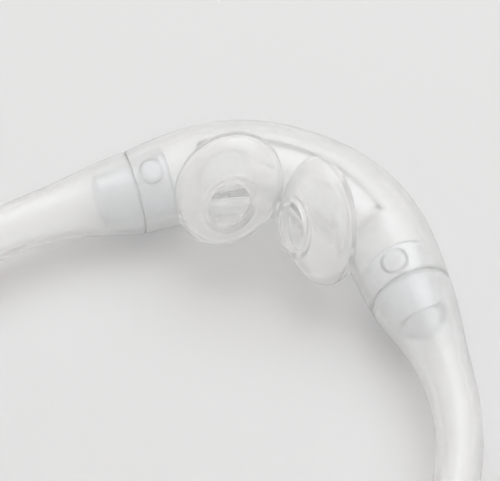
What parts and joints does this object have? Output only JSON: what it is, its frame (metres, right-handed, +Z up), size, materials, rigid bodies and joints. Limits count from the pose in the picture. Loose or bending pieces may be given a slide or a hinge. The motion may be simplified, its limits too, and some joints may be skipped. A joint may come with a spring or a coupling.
{
  "type": "nasal cpap mask",
  "caption": "Nasal-pillow CPAP mask: soft hollow cushion with nasal pillows, plugged by clear connectors onto a hollow silicone frame that loops over the head to a hose port.",
  "frame": {"origin": "on the surface the mask lies on, under the middle of its bounding box", "axes": "+Z up, across the loop's plane; +Y towards the cushion, -Y towards the crown port; +X to the side, the loop being mirrored across X = 0; the pillows point into the loop, down -Y and up"},
  "size_m": [0.1296, 0.236, 0.029],
  "materials": {
    "cushion_silicone": "matte",
    "frame_silicone": "matte",
    "connector_plastic": "gloss"
  },
  "bodies": {
    "root": {"pillow_cushion": "cushion_silicone", "left_connector": "connector_plastic", "right_connector": "connector_plastic", "frame_tube": "frame_silicone"}
  },
  "joints": []
}
